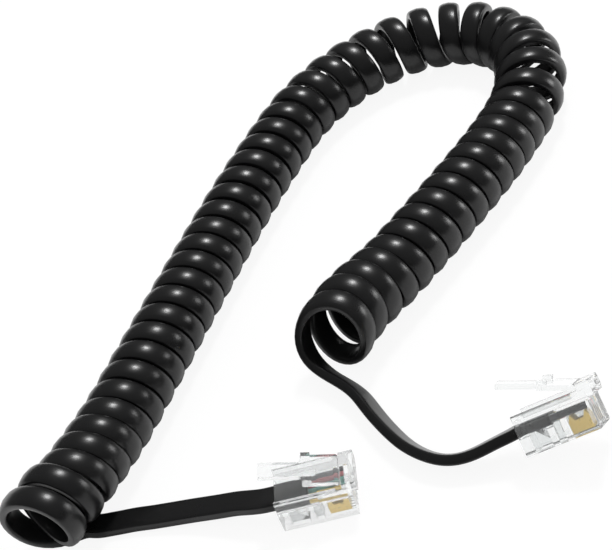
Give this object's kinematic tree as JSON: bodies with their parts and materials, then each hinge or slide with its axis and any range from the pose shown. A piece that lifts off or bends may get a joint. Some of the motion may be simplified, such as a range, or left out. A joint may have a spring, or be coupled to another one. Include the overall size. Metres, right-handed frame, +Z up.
{
  "type": "coiled telephone handset cord",
  "caption": "Black coiled handset cord lying in a bow, with straight leads and a clear modular plug with a sprung latch on each end.",
  "frame": {"origin": "middle of the bounding box, on the surface that the cord lies on", "axes": "+Z up from that surface; the coil's bow points to +Y and both plugs lie on the -Y side, with the first plug's lead in the middle and the second plug to +X"},
  "size_m": [0.1214, 0.1204, 0.0155],
  "materials": {
    "cord_jacket": "glossy black PVC",
    "clear_plastic": "clear moulded polycarbonate",
    "contact_plating": "gold-plated",
    "core_black": "smooth insulation",
    "core_red": "smooth insulation",
    "core_green": "smooth insulation",
    "core_yellow": "smooth insulation"
  },
  "bodies": {
    "cord": {"coil": "cord_jacket", "lead_a": "cord_jacket", "lead_b": "cord_jacket", "housing_a": "clear_plastic", "jacket_end_a": "cord_jacket", "contact_a1": "contact_plating", "contact_a2": "contact_plating", "contact_a3": "contact_plating", "contact_a4": "contact_plating", "core_a1_black": "core_black", "core_a2_red": "core_red", "core_a3_green": "core_green", "core_a4_yellow": "core_yellow", "housing_b": "clear_plastic", "jacket_end_b": "cord_jacket", "contact_b1": "contact_plating", "contact_b2": "contact_plating", "contact_b3": "contact_plating", "contact_b4": "contact_plating", "core_b1_yellow": "core_yellow", "core_b2_green": "core_green", "core_b3_red": "core_red", "core_b4_black": "core_black"},
    "latch_a": {"latch_a": "clear_plastic"},
    "latch_b": {"latch_b": "clear_plastic"}
  },
  "joints": [
    {"name": "latch_a_press", "type": "hinge", "parent": "cord", "child": "latch_a", "pos_m": [-0.00784, -0.04757, 0.00705], "axis": [-0.1908, -0.9816, 0], "range_deg": [0, 22], "stiffness_Nm_per_rad": 0.06},
    {"name": "latch_b_press", "type": "hinge", "parent": "cord", "child": "latch_b", "pos_m": [0.03016, -0.05249, 0.01041], "axis": [-0.3806, -0.6793, 0.6274], "range_deg": [0, 25.5], "stiffness_Nm_per_rad": 0.06}
  ]
}
